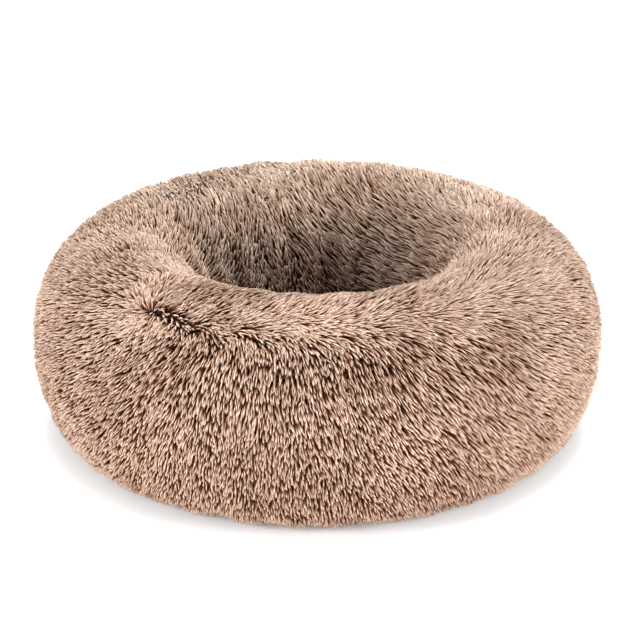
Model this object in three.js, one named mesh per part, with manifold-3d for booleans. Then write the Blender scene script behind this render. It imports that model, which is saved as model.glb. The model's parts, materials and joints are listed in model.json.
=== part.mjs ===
// A donut pet bed: a long-pile plush bolster round a padded nest, on a non-slip base, with a zip at the rear.
// Millimetres, +Z up. The origin is on the floor under the bed's centre, and the bed's front faces -Y.
import * as THREE from "three";
import { mergeVertices } from "three/addons/utils/BufferGeometryUtils.js";
import Module from "manifold-3d";

// Overall form of the bolster, measured over the pile
const bedDiameter = 584;
const bedHeight = 209;
const crestSetback = 99;
const widestHeight = 99;
const floorSetback = 45;
const outerTopPower = 2.1;
const innerWallPower = 2.1;

// Nest
const nestRadius = 106;
const nestFloorHeight = 58;
const nestCrown = 8;

// Gathers of the cover round the nest. The seam holds a share of their depth.
const gatherCount = 18;
const gatherDepth = 7;
const gatherSeamShare = 0.6;

// Cloths, and the gap between pieces that touch
const pileThickness = 14;
const pileFloorGap = 0.6;
const baseThickness = 1.6;
const linerThickness = 1.2;
const linerEase = 1.6;
const seamTapeWidth = 9;
const seamTapeThickness = 1;
const touchGap = 0.3;

// Base, turned up at its edge
const baseTurnUp = 19;
const baseSeamReach = 4;
const baseBendShare = 0.6;

// Lower corners of the filling bags, and the slits that they are filled through
const bolsterCornerSetback = 10;
const bolsterCornerRise = 46;
const bagCorner = 14;
const stuffingSlit = 4;
const padSlitRadius = 6;

// Care label
const labelWidth = 40;
const labelLength = 30;
const labelThickness = 0.5;
const labelEase = 0.5;
const labelTurnShare = 0.75;

// Zip: tapes, coils and stops
const zipTapeWidth = 13;
const zipTapeThickness = 0.6;
const coilWidth = 2.6;
const coilHeight = 2;
const engagementGap = 1.4;
const coilSetback = 32;
const tapeSetback = 3;
const stopLength = 3;
const stopGap = 1.2;

// Zip: slider
const sliderLength = 15;
const sliderPlate = 1.2;
const sliderGap = 0.45;
const sliderLip = 0.9;
const sliderCorner = 1.6;
const postLength = 3.2;
const postWidth = 0.7;
const bridgeLength = 9;
const bridgeWidth = 2.4;
const bridgeBar = 1.1;

// Zip: pull tab
const tabPinRadius = 0.7;
const tabRunningGap = 0.35;
const tabArmWidth = 1.5;
const tabLength = 26;
const tabTipWidth = 8;

// Straight steps in a whole turn, or in the zip's half turn
const coverSteps = 72;
const baseSteps = 36;
const bagSteps = 24;
const zipSteps = 48;
const labelSteps = 4;
const pinSides = 16;

const bedRadius = bedDiameter / 2;
const crestRadius = bedRadius - crestSetback;
const floorRadius = bedRadius - floorSetback;
const turn = 2 * Math.PI;
const half = Math.PI;
const right = Math.PI / 2;

const wasm = await Module();
wasm.setup();

const looks = {
  plush: [0xb58f7c, 0.95, 0],
  tape: [0x8f7364, 0.85, 0],
  nonWoven: [0xe9e6e0, 0.95, 0],
  fibre: [0xf4f3f0, 1, 0],
  baseCloth: [0x8a7263, 0.8, 0],
  label: [0xf2f0ea, 0.7, 0],
  nylon: [0x7c6455, 0.5, 0],
  metal: [0xb9b4ab, 0.3, 0.9],
};

function material([color, roughness, metalness]) {
  return new THREE.MeshStandardMaterial({ color, roughness, metalness });
}

// Points [r, z] and curves of the bed's upright section

function distance(p, q) {
  return Math.hypot(p[0] - q[0], p[1] - q[1]);
}

function between(p, q, share) {
  return [p[0] + (q[0] - p[0]) * share, p[1] + (q[1] - p[1]) * share];
}

// A stretch of a superellipse's quarter from (r0 + a, z0) to (r0, z0 + b), where a and b may be negative.
function quarter([r0, z0], [a, b], power, from, to, count) {
  const points = [];
  for (let i = 0; i <= count; i++) {
    const t = THREE.MathUtils.lerp(from, to, i / count);
    const c = Math.max(Math.cos(t), 0) ** (2 / power);
    const s = Math.max(Math.sin(t), 0) ** (2 / power);
    points.push([r0 + a * c, z0 + b * s]);
  }
  return points;
}

// The pile's outer surface from the floor, out over the crest and down into the nest.
// It starts pileFloorGap above the floor, so that the base carries the bed.
function pileSurface(lowCount, topCount, innerCount) {
  const lowest = Math.asin(1 - pileFloorGap / widestHeight);
  const low = quarter([floorRadius, widestHeight], [floorSetback, -widestHeight], 2, lowest, 0, lowCount);
  const topSize = [crestSetback, bedHeight - widestHeight];
  const top = quarter([crestRadius, widestHeight], topSize, outerTopPower, 0, right, topCount);
  const innerSize = [nestRadius - crestRadius, bedHeight - nestFloorHeight];
  const inner = quarter([crestRadius, nestFloorHeight], innerSize, innerWallPower, right, 0, innerCount);
  return [...low, ...top.slice(1), ...inner.slice(1)];
}

// The points moved by depth to the left of the curve's direction, which is inwards here.
// A point on the axis stays on it, and its neighbour gives the direction there.
function offset(points, depth) {
  return points.map(([r, z], i) => {
    const before = points[Math.max(i - 1, 0)];
    const after = points[Math.min(i + 1, points.length - 1)];
    const [run, rise] = [after[0] - before[0], after[1] - before[1]];
    if (r === 0) return [0, z + Math.sign(run) * depth];
    const length = Math.hypot(run, rise);
    return [r - (rise / length) * depth, z + (run / length) * depth];
  });
}

// A strip of even thickness on a curve's left, as a closed outline.
function strip(points, thickness, near = 0) {
  return [...offset(points, near), ...offset(points, near + thickness).reverse()];
}

// A quadratic curve from a to b, drawn towards the corner.
function bend(a, corner, b, count) {
  const ends = [a, corner, b].map((p) => new THREE.Vector2(...p));
  const curve = new THREE.QuadraticBezierCurve(...ends);
  return curve.getPoints(count).map((p) => [p.x, p.y]);
}

// The rest of a curve from where the measure first rises to zero.
function fromCrossing(points, measure) {
  const i = points.findIndex((p) => measure(p) >= 0);
  if (i <= 0) return points;
  const [p, q] = [points[i - 1], points[i]];
  return [between(p, q, -measure(p) / (measure(q) - measure(p))), ...points.slice(i)];
}

// The start of a curve, up to the given length along it.
function firstStretch(points, length) {
  const kept = [points[0]];
  let left = length;
  for (let i = 1; i < points.length && left > 0; i++) {
    const step = distance(points[i - 1], points[i]);
    kept.push(between(points[i - 1], points[i], Math.min(left / step, 1)));
    left -= step;
  }
  return kept;
}

// Height of the nest floor's pile, crowned in the middle
function crownHeight(r) {
  return nestFloorHeight + nestCrown * (1 - (r / nestRadius) ** 2);
}

// Gathers: how strongly each point of the section is drawn towards the axis between the tucks

function gatherWeight([r, z]) {
  const drop = Math.min((bedHeight - z) / (bedHeight - nestFloorHeight), 1);
  const inwards = THREE.MathUtils.clamp((crestRadius - r) / (crestRadius - nestRadius), 0, 1);
  const seam = gatherSeamShare * THREE.MathUtils.smoothstep(drop, 0.5, 1);
  return Math.max(Math.sin(half * drop), seam) * inwards;
}

function gathered(points) {
  return points.map((p) => [...p, gatherWeight(p)]);
}

function gatherAt(angle, weight) {
  return (gatherDepth * weight * (Math.cos(gatherCount * angle) - 1)) / 2;
}

// Solids

function indexed(positions, index) {
  const geometry = new THREE.BufferGeometry();
  geometry.setAttribute("position", new THREE.Float32BufferAttribute(positions, 3));
  geometry.setIndex(index);
  return geometry;
}

// The shared vertices merged, and triangles that shrank to a line left out
function welded(geometry) {
  geometry.deleteAttribute("normal");
  geometry.deleteAttribute("uv");
  const merged = mergeVertices(geometry, 1e-4);
  const all = merged.index.array;
  const kept = [];
  for (let i = 0; i < all.length; i += 3) {
    const [a, b, c] = [all[i], all[i + 1], all[i + 2]];
    if (a !== b && b !== c && c !== a) kept.push(a, b, c);
  }
  merged.setIndex(kept);
  return merged;
}

function anticlockwise(section) {
  const outline = section.map(([r, z]) => new THREE.Vector2(r, z));
  return THREE.ShapeUtils.area(outline) > 0 ? section : [...section].reverse();
}

// A closed outline [r, z, weight] swept about +Z from one angle to another, gathered by its weights.
function sweep(section, from, to, steps) {
  const whole = to - from >= turn;
  const points = anticlockwise(section);
  const count = points.length;
  const rings = whole ? steps : steps + 1;
  const positions = [];
  for (let k = 0; k < rings; k++) {
    const angle = from + ((to - from) * k) / steps;
    for (const [r, z, weight = 0] of points) {
      const radius = r + gatherAt(angle, weight);
      positions.push(radius * Math.cos(angle), radius * Math.sin(angle), z);
    }
  }
  const index = [];
  for (let k = 0; k < steps; k++) {
    const here = k * count;
    const next = ((k + 1) % rings) * count;
    for (let i = 0; i < count; i++) {
      const j = (i + 1) % count;
      index.push(here + i, next + j, here + j, here + i, next + i, next + j);
    }
  }
  if (!whole) {
    const last = steps * count;
    const flat = points.map(([r, z]) => new THREE.Vector2(r, z));
    for (const [a, b, c] of THREE.ShapeUtils.triangulateShape(flat, [])) {
      index.push(a, b, c, last + a, last + c, last + b);
    }
  }
  return welded(indexed(positions, index));
}

// A whole turn of a profile that closes on itself, or that starts and ends on the axis.
function turned(section, steps) {
  const profile = anticlockwise(section).map(([r, z]) => new THREE.Vector2(r, z));
  if (profile[0].x > 0) profile.push(profile[0]);
  return welded(new THREE.LatheGeometry(profile, steps).rotateX(right));
}

function solidOf(geometry) {
  const mesh = welded(geometry);
  const vertProperties = mesh.attributes.position.array;
  const triVerts = new Uint32Array(mesh.index.array);
  return new wasm.Manifold(new wasm.Mesh({ numProp: 3, vertProperties, triVerts }));
}

function joined(geometries) {
  const solid = geometries.map(solidOf).reduce((all, next) => all.add(next));
  const mesh = solid.getMesh();
  return indexed(Array.from(mesh.vertProperties), Array.from(mesh.triVerts));
}

// A box between two ends along each axis, in either order
function box([x0, x1], [y0, y1], [z0, z1]) {
  const geometry = new THREE.BoxGeometry(...[x1 - x0, y1 - y0, z1 - z0].map(Math.abs));
  return geometry.translate((x0 + x1) / 2, (y0 + y1) / 2, (z0 + z1) / 2);
}

const bed = new THREE.Group();

function piece(name, geometry, look, parent = bed) {
  geometry.computeVertexNormals();
  const mesh = new THREE.Mesh(geometry, material(look));
  mesh.name = name;
  parent.add(mesh);
}

// Seams and surfaces that several pieces share

const pile = pileSurface(5, 5, 6);
const backing = offset(pileSurface(5, 4, 5), pileThickness);
const baseFlatRadius = floorRadius - baseTurnUp;
const baseSeam = [floorRadius + baseSeamReach, pileThickness];
const nestSeam = [nestRadius + pileThickness / 2, nestFloorHeight - pileThickness];
const bagFloor = baseThickness + touchGap;
const outerBacking = backing.filter(([r]) => r > crestRadius);

// The zip's band runs from the base seam up to the backing, at one band's width from the seam.
const bandWidth = 2 * (zipTapeWidth + touchGap);
const bandTop = fromCrossing(outerBacking, (p) => distance(p, baseSeam) - bandWidth)[0];
const bandMiddle = between(baseSeam, bandTop, 0.5);
const bandRadius = bandMiddle[0];
const lean = Math.atan2(bandTop[0] - baseSeam[0], bandTop[1] - baseSeam[1]);

// A place on the band, measured from its middle: up its slope and out from it.
function onBand(up, out) {
  const r = bandRadius + up * Math.sin(lean) + out * Math.cos(lean);
  return [r, bandMiddle[1] + up * Math.cos(lean) - out * Math.sin(lean)];
}

// How far a point lies past the band's upper edge, up its slope.
function pastBand([r, z]) {
  return (r - bandTop[0]) * Math.sin(lean) + (z - bandTop[1]) * Math.cos(lean) - touchGap;
}

function addPlushPanels() {
  const seamLip = [nestSeam[0] + touchGap, nestSeam[1]];
  const section = (outer, inner) => gathered([...outer, seamLip, ...[...inner].reverse()]);
  const steps = coverSteps / 2;
  const sideGap = touchGap / bedDiameter;

  // The front panel reaches the base seam.
  const pastSeam = ([r, z]) => Math.min(r - baseSeam[0], z - baseSeam[1]) - 2 * touchGap;
  const front = section(pile, fromCrossing(backing, pastSeam));
  piece("front_plush_panel", sweep(front, half + sideGap, turn - sideGap, steps), looks.plush);

  // The rear panel ends at the zip's upper tape.
  const rear = section(fromCrossing(pile, pastBand), fromCrossing(backing, pastBand));
  piece("rear_plush_panel", sweep(rear, sideGap, half - sideGap, steps), looks.plush);
}

function addCentrePanel() {
  const shares = [0, 0.3, 0.55, 0.75, 0.9];
  const edge = [nestRadius - touchGap, nestFloorHeight];
  const lip = [nestSeam[0] - touchGap, nestSeam[1]];
  const top = shares.map((share) => [nestRadius * share, crownHeight(nestRadius * share)]);
  const under = top.map(([r, z]) => [r, z - pileThickness]);
  const ease = (share) => gatherSeamShare * share ** 4;
  const weighed = (points) => points.map((p, i) => [...p, ease(shares[i])]);
  const edges = [edge, lip].map((p) => [...p, gatherSeamShare]);
  const section = [...weighed(top), ...edges, ...weighed(under).reverse()];
  piece("centre_plush_panel", sweep(section, 0, turn, coverSteps), looks.plush);

  const underSeam = nestSeam[1] - touchGap;
  const across = [1, -1].map((sign) => [nestSeam[0] + (sign * seamTapeWidth) / 2, underSeam]);
  piece("nest_seam_tape", turned(strip(across, seamTapeThickness), bagSteps), looks.tape);
}

function addBase() {
  const corner = between([baseFlatRadius, 0], [baseSeam[0], 0], baseBendShare);
  const rim = bend([baseFlatRadius, 0], corner, baseSeam, 4);
  const inner = offset([[0, 0], ...rim], baseThickness);
  piece("base_panel", turned([[0, 0], ...rim, ...inner.reverse()], baseSteps), looks.baseCloth);

  const edge = firstStretch([...rim].reverse(), seamTapeWidth).reverse();
  const binding = strip(edge, seamTapeThickness, baseThickness + touchGap);
  piece("base_seam_binding", turned(binding, baseSteps), looks.tape);
}

// The closed outer curve of the bolster's bag, from the slit in its underside and back to it
function bolsterBag() {
  const eased = offset(backing, linerEase);
  const wall = fromCrossing(eased, ([r, z]) => (r > crestRadius ? z - bolsterCornerRise : 0));
  const innerWall = wall.at(-1)[0];
  const outerStart = [baseFlatRadius - bolsterCornerSetback, bagFloor];
  const outerCorner = [baseSeam[0] - bolsterCornerSetback, bagFloor + touchGap];
  const outerBend = bend(outerStart, outerCorner, wall[0], 4).slice(0, -1);
  const innerCorner = [innerWall, bagFloor];
  const innerEnds = [[innerWall, bagFloor + bagCorner], [innerWall + bagCorner, bagFloor]];
  const innerBend = bend(innerEnds[0], innerCorner, innerEnds[1], 2);
  const slit = (innerWall + outerStart[0]) / 2;
  const start = [slit + stuffingSlit / 2, bagFloor];
  const end = [slit - stuffingSlit / 2, bagFloor];
  return [start, ...outerBend, ...wall, ...innerBend, end];
}

function addBolsterFilling() {
  const bag = bolsterBag();
  piece("bolster_liner", turned(strip(bag, linerThickness), bagSteps), looks.nonWoven);
  piece("bolster_fill", turned(offset(bag, linerThickness + touchGap), bagSteps), looks.fibre);
}

function addPadFilling() {
  const radius = nestRadius + pileThickness + linerEase - touchGap;
  const underTape = nestSeam[1] - seamTapeThickness - 2 * touchGap;
  const shares = [0, 0.4, 0.65, 0.8];
  const crown = shares.map((share) => {
    const r = nestRadius * share;
    return [r, crownHeight(r) - pileThickness - touchGap];
  });
  const side = [radius, (underTape + bagFloor) / 2];
  const topBend = bend(crown.at(-1), [radius, underTape], side, 4);
  const lowBend = bend(side, [radius, bagFloor], [radius - bagCorner, bagFloor], 3);
  const below = [padSlitRadius, bagFloor];
  const bag = [below, ...lowBend.reverse(), ...topBend.reverse().slice(1), ...crown.reverse().slice(1)];
  const inside = offset(bag, linerThickness);
  piece("pad_liner", turned([...bag, ...inside.reverse()], bagSteps), looks.nonWoven);

  const fill = offset(bag, linerThickness + touchGap);
  piece("pad_fill", turned([[0, fill[0][1]], ...fill], bagSteps), looks.fibre);
}

// A label sewn into the zip's upper seam, lying between the rear panel and the bolster's bag
function addCareLabel() {
  const onPanel = firstStretch(fromCrossing(backing, pastBand), labelLength);
  const middle = half * labelTurnShare;
  const reach = labelWidth / bandTop[0] / 2;
  const section = strip(onPanel, labelThickness, labelEase);
  piece("care_label", sweep(section, middle - reach, middle + reach, labelSteps), looks.label);
}

// The zip. Its chain runs round the band's middle, and the angles are those of lengths along that circle.

const coilFrom = engagementGap / 2;
const coilFoot = zipTapeThickness / 2 + touchGap;
const coilTop = coilFoot + coilHeight;
const chainHalf = coilFrom + coilWidth;

function bandSection([up0, up1], [out0, out1]) {
  return [onBand(up0, out0), onBand(up0, out1), onBand(up1, out1), onBand(up1, out0)];
}

function alongBand(section, start, end, steps) {
  return sweep(section, start / bandRadius, end / bandRadius, steps);
}

function addZip() {
  const length = half * bandRadius;
  const heights = [-zipTapeThickness / 2, zipTapeThickness / 2];
  const chain = [coilFoot, coilTop];
  for (const [side, sign] of [["lower", -1], ["upper", 1]]) {
    const tape = bandSection([sign * coilFrom, sign * zipTapeWidth], heights);
    const coil = bandSection([sign * coilFrom, sign * chainHalf], chain);
    piece(`${side}_zip_tape`, alongBand(tape, tapeSetback, length - tapeSetback, zipSteps), looks.tape);
    piece(`${side}_zip_coil`, alongBand(coil, coilSetback, length - coilSetback, zipSteps), looks.nylon);
    const topStop = coilSetback - stopGap;
    piece(`${side}_zip_top_stop`, alongBand(coil, topStop - stopLength, topStop, 1), looks.metal);
  }
  const across = bandSection([-chainHalf, chainHalf], chain);
  const bottomStop = length - coilSetback + stopGap;
  piece("zip_bottom_stop", alongBand(across, bottomStop, bottomStop + stopLength, 1), looks.metal);
}

// The slider in its own frame: x along the chain, y up the band's slope, z outwards.
// Its mouth and post face -x, towards the top stops.
const plateTop = coilTop + sliderGap + sliderPlate;
const sliderHalf = chainHalf + sliderGap + sliderLip;
const pinHeight = plateTop + tabRunningGap + tabPinRadius;
const bridgeTop = pinHeight + tabPinRadius + tabRunningGap + bridgeBar;

function sliderShape() {
  const [x, y, c] = [sliderLength / 2, sliderHalf, sliderCorner];
  const upper = [[x, y - c], [x - c, y], [c - x, y], [-x, y - c]];
  const corners = [...upper, ...upper.map(([px, py]) => [-px, -py])];
  return new THREE.Shape(corners.map((p) => new THREE.Vector2(...p)));
}

function sliderGeometry() {
  const innerTop = -zipTapeThickness / 2 - sliderGap;
  const plate = { depth: sliderPlate, bevelEnabled: false };
  const inner = new THREE.ExtrudeGeometry(sliderShape(), plate).translate(0, 0, innerTop - sliderPlate);
  const outer = new THREE.ExtrudeGeometry(sliderShape(), plate).translate(0, 0, plateTop - sliderPlate);
  const mouth = -sliderLength / 2;
  const postHeights = [innerTop - sliderPlate / 2, plateTop - sliderPlate / 2];
  const post = box([mouth, mouth + postLength], [-postWidth / 2, postWidth / 2], postHeights);
  const lipReach = sliderLength / 2 - sliderCorner;
  const lipHeights = [zipTapeThickness / 2 + sliderGap, plateTop - sliderPlate / 2];
  const lips = [-1, 1].map((sign) => {
    const sides = [sign * sliderHalf, sign * (sliderHalf - sliderLip)];
    return box([-lipReach, lipReach], sides, lipHeights);
  });
  const bridgeWide = [-bridgeWidth / 2, bridgeWidth / 2];
  const bar = box([-bridgeLength / 2, bridgeLength / 2], bridgeWide, [bridgeTop - bridgeBar, bridgeTop]);
  const feet = [-1, 1].map((sign) => {
    const ends = [(sign * bridgeLength) / 2, sign * (bridgeLength / 2 - bridgeBar)];
    return box(ends, bridgeWide, [plateTop - sliderPlate / 2, bridgeTop]);
  });
  return joined([inner, outer, post, ...lips, bar, ...feet]);
}

// The tab in the slider's frame, lying flat past the mouth. It turns on a pin under the slider's bridge.
function tabGeometry() {
  const armFrom = bridgeWidth / 2 + tabRunningGap;
  const armTo = armFrom + tabArmWidth;
  const window = Math.hypot(bridgeLength / 2, bridgeTop - pinHeight) + tabRunningGap;
  const pin = new THREE.CylinderGeometry(tabPinRadius, tabPinRadius, 2 * armTo, pinSides);
  const thickness = [-tabPinRadius, tabPinRadius];
  const arms = [-1, 1].map((sign) => {
    return box([-window - tabArmWidth, 0], [sign * armFrom, sign * armTo], thickness);
  });
  const tipRadius = tabTipWidth / 2;
  const outline = new THREE.Shape();
  outline.moveTo(-window, armTo);
  outline.lineTo(tipRadius - tabLength, tipRadius);
  outline.absarc(tipRadius - tabLength, 0, tipRadius, right, half + right, false);
  outline.lineTo(-window, -armTo);
  outline.closePath();
  const plate = { depth: 2 * tabPinRadius, bevelEnabled: false, curveSegments: pinSides / 2 };
  const tip = new THREE.ExtrudeGeometry(outline, plate).translate(0, 0, -tabPinRadius);
  return joined([pin, ...arms, tip]).translate(0, 0, pinHeight);
}

function addSlider() {
  const angle = (coilSetback + stopGap / 2 + sliderLength / 2) / bandRadius;
  const [cosine, sine] = [Math.cos(angle), Math.sin(angle)];
  const along = new THREE.Vector3(-sine, cosine, 0);
  const upSlope = new THREE.Vector3(Math.sin(lean) * cosine, Math.sin(lean) * sine, Math.cos(lean));
  const outwards = new THREE.Vector3().crossVectors(along, upSlope);
  const slider = new THREE.Group();
  slider.quaternion.setFromRotationMatrix(new THREE.Matrix4().makeBasis(along, upSlope, outwards));
  slider.position.set(bandRadius * cosine, bandRadius * sine, bandMiddle[1]);
  piece("zip_slider", sliderGeometry(), looks.metal, slider);
  piece("zip_pull_tab", tabGeometry(), looks.metal, slider);
  bed.add(slider);
}

addPlushPanels();
addCentrePanel();
addBase();
addBolsterFilling();
addPadFilling();
addCareLabel();
addZip();
addSlider();

export default bed;
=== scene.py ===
"""The looks of a donut pet bed: a ring and a nest in long combed plush, on a non-slip base with a zip.

Metres, +Z up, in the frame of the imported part. The front of the bed faces -Y.
"""
import json
import math

import bmesh
import bpy
import numpy as np
from mathutils import Matrix, Vector


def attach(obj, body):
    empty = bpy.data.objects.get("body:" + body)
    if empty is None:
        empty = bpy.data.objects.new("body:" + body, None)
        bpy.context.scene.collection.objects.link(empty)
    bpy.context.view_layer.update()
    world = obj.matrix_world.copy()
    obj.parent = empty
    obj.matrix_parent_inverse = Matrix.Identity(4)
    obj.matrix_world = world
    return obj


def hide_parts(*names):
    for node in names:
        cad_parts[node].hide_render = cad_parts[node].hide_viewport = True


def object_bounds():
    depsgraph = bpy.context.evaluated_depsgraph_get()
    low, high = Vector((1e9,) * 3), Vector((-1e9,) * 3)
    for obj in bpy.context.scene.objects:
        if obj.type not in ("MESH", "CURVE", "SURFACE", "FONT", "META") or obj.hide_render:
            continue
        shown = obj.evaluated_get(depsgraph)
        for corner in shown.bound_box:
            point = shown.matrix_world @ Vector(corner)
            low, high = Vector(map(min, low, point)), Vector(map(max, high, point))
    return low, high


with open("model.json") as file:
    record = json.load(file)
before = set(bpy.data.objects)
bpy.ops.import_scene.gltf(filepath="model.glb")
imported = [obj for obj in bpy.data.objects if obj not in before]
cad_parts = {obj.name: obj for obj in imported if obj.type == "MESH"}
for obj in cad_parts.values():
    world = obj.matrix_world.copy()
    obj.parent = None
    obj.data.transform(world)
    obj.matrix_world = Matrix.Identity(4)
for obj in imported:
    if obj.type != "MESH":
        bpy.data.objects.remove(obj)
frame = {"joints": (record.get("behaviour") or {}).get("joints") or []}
cad_low, cad_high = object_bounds()

MM = 0.001
TURN = 2 * math.pi

# The ring's upright section over the pile, as in the part's source
BED_RADIUS = (cad_high.x - cad_low.x) / 2
BED_HEIGHT = cad_high.z
CREST_RADIUS = BED_RADIUS - 99 * MM
WIDEST_HEIGHT = 99 * MM
FLOOR_RADIUS = BED_RADIUS - 45 * MM
SECTION_POWER = 2.1
NEST_RADIUS = 106 * MM
NEST_FLOOR = 58 * MM
NEST_CROWN = 8 * MM
PILE_GAP = 0.6 * MM
PILE_THICKNESS = 14 * MM

# Gathers round the nest
GATHER_COUNT = 18
GATHER_DEPTH = 7 * MM
GATHER_SEAM_SHARE = 0.6

# The zip's band lies between the base seam and the rear cover's edge, and leans outwards
JOINTS = {joint["name"]: joint for joint in frame["joints"]}
BAND_HEIGHT = JOINTS["zip_slider_travel"]["pos_m"][2]
BAND_SLOPE = Vector(JOINTS["pull_tab_hinge"]["axis"])
LEAN = math.atan2(math.hypot(BAND_SLOPE.x, BAND_SLOPE.y), BAND_SLOPE.z)
SLIDER_ANGLE = math.atan2(BAND_SLOPE.y, BAND_SLOPE.x)
BASE_SEAM = (FLOOR_RADIUS + 4 * MM, PILE_THICKNESS)
BAND_RADIUS = BASE_SEAM[0] + (BAND_HEIGHT - BASE_SEAM[1]) * math.tan(LEAN)
BAND_HALF = (BAND_HEIGHT - BASE_SEAM[1]) / math.cos(LEAN)
ZIP_LENGTH = math.pi * BAND_RADIUS

rng = np.random.default_rng(42)


def smooth(x, low, high):
    t = np.clip((x - low) / (high - low), 0, 1)
    return t * t * (3 - 2 * t)


def unit(vectors):
    return vectors / np.maximum(np.linalg.norm(vectors, axis=-1, keepdims=True), 1e-12)


def around_axis(r, z, angle):
    """Points at a radius and height, turned about the bed's axis."""
    return np.stack(np.broadcast_arrays(r * np.cos(angle), r * np.sin(angle), z), -1)


def gather(angle):
    """How far a full gather moves the surface outwards, which is never more than 0."""
    return GATHER_DEPTH * (np.cos(GATHER_COUNT * angle) - 1) / 2


def pad_height(radius):
    return NEST_FLOOR + NEST_CROWN * (1 - (radius / NEST_RADIUS) ** 2)


class Profile:
    """The pile's surface: from under the edge up the wall, over the crest, down the nest and over the pad."""

    def __init__(self):
        def quarter(centre, size, power, start, end, count=300):
            t = np.linspace(start, end, count)
            c = np.maximum(np.cos(t), 0) ** (2 / power)
            s = np.maximum(np.sin(t), 0) ** (2 / power)
            return np.stack([centre[0] + size[0] * c, centre[1] + size[1] * s], 1)

        right = math.pi / 2
        under = np.array([[FLOOR_RADIUS - 20 * MM, PILE_GAP], [FLOOR_RADIUS - 10 * MM, PILE_GAP]])
        lowest = math.asin(1 - PILE_GAP / WIDEST_HEIGHT)
        low_size = (BED_RADIUS - FLOOR_RADIUS, -WIDEST_HEIGHT)
        low = quarter((FLOOR_RADIUS, WIDEST_HEIGHT), low_size, 2, lowest, 0)
        top_size = (BED_RADIUS - CREST_RADIUS, BED_HEIGHT - WIDEST_HEIGHT)
        top = quarter((CREST_RADIUS, WIDEST_HEIGHT), top_size, SECTION_POWER, 0, right)
        inner_size = (NEST_RADIUS - CREST_RADIUS, BED_HEIGHT - NEST_FLOOR)
        inner = quarter((CREST_RADIUS, NEST_FLOOR), inner_size, SECTION_POWER, right, 0)
        radius = np.linspace(NEST_RADIUS, 0, 60)
        pad = np.stack([radius, pad_height(radius)], 1)
        points = np.concatenate([under, low, top[1:], inner[1:], pad[1:]])
        length = np.concatenate([[0], np.cumsum(np.hypot(*np.diff(points, axis=0).T))])
        marks = np.cumsum([len(under), len(low) - 1, len(top) - 1, len(inner) - 1])
        self.r, self.z = points.T
        self.s = length - length[marks[0]]
        self.widest, self.crest, self.seam = self.s[marks[1:]]
        self.end = self.s[-1]
        drop = np.minimum((BED_HEIGHT - self.z) / (BED_HEIGHT - NEST_FLOOR), 1)
        inwards = np.clip((CREST_RADIUS - self.r) / (CREST_RADIUS - NEST_RADIUS), 0, 1)
        in_nest = np.maximum(np.sin(math.pi * drop), GATHER_SEAM_SHARE * smooth(drop, 0.5, 1)) * inwards
        on_pad = GATHER_SEAM_SHARE * np.clip(self.r / NEST_RADIUS, 0, 1) ** 4
        self.weight = np.where(self.s > self.seam, on_pad, in_nest)

    def radius(self, s):
        return np.interp(s, self.s, self.r)

    def line(self, s):
        """The curve [r, z] at lengths along it, without the gathers."""
        return np.stack([self.radius(s), np.interp(s, self.s, self.z)], -1)

    def gathers(self, s):
        """The share of a full gather at lengths along the curve."""
        return np.interp(s, self.s, self.weight)

    def at(self, angle, s):
        """Points of the surface, gathers included."""
        r = self.radius(s) + self.gathers(s) * gather(angle)
        return around_axis(r, np.interp(s, self.s, self.z), angle)

    def frame(self, angle, s):
        """Points of the surface and its outward normals."""
        step = 0.5 * MM
        turn = step / np.maximum(self.radius(s), 2 * MM)
        up = self.at(angle, s + step) - self.at(angle, s - step)
        around = self.at(angle + turn, s) - self.at(angle - turn, s)
        return self.at(angle, s), unit(np.cross(around, up))


profile = Profile()


class Noise:
    """Smooth seeded noise from -1 to 1, made of plane waves in random directions."""

    def __init__(self, size, waves=14):
        direction = unit(rng.normal(size=(waves, 3)))
        self.waves = direction * rng.uniform(0.7, 1.4, (waves, 1)) * TURN / size
        self.phase = rng.uniform(0, TURN, waves)

    def __call__(self, points):
        return np.sin(points @ self.waves.T + self.phase).sum(-1) / math.sqrt(len(self.phase))


# Combing: the pile's direction, as an angle from "down the wall" towards "anticlockwise seen from above".
# The wall is below the parting, the crest above it and the nest past the crest. Places round the ring are in
# degrees from +X. The crest's directions turn about a whorl at 228 degrees, and the parting is nearer to the
# crest on the right than on the left.
COMB_PLACES = (
    0, 30, 60, 90, 120, 150, 180, 200, 210, 219, 225, 231, 243, 256, 270, 285, 300, 315, 330, 345, 360,
)
COMB_WALL = (52, 42, 28, 10, 0, -20, -42, -46, -43, -40, -32, -20, -3, 5, 17, 29, 36, 46, 52, 54, 52)
COMB_CREST = (78, 64, 45, 15, 0, -28, -62, -62, -55, -60, -160, 150, 144, 132, 115, 110, 108, 100, 88, 80, 78)
COMB_NEST = (
    95, 92, 65, 30, 8, -25, -72, -90, -115, -145, -165, 180, 165, 150, 138, 124, 116, 108, 102, 98, 95,
)
PARTING_BELOW_CREST = (52 * MM, 38 * MM)
PARTING_SOFTNESS = 38 * MM
NEST_TURN = (-5 * MM, 50 * MM)
PAD_COMB = math.radians(250)

# Messy places: angle in degrees, distance past the crest towards the nest, and reach
MESSY_PLACES = ((108, 22 * MM, 34 * MM), (229, -78 * MM, 12 * MM), (228, -46 * MM, 15 * MM))

# How uneven the pile is: its direction by wide, middle and fine noise, its tips' depth by the last two,
# and the parting's height
COMB_NOISE = np.radians((6, 5, 3))
TIP_NOISE = (1.6 * MM, 0.8 * MM)
PARTING_WANDER = 10 * MM
MESSY_TURN = math.radians(40)

# The lowest locks at the front cover's two ends
FAN_TURN = math.radians(25)
FAN_WIDTH = 24 * MM

# The gathers' valleys run on over the crest, but not at the front
FOLD_DEPTH = 3 * MM

# The most that a lock's tip stands over the pile's surface, and the least height of a strand over the floor
TIP_RISE = 1.2 * MM
STRAND_FLOOR = 0.45 * MM

wide_noise = Noise(110 * MM)
middle_noise = Noise(34 * MM)
fine_noise = Noise(13 * MM)


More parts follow.
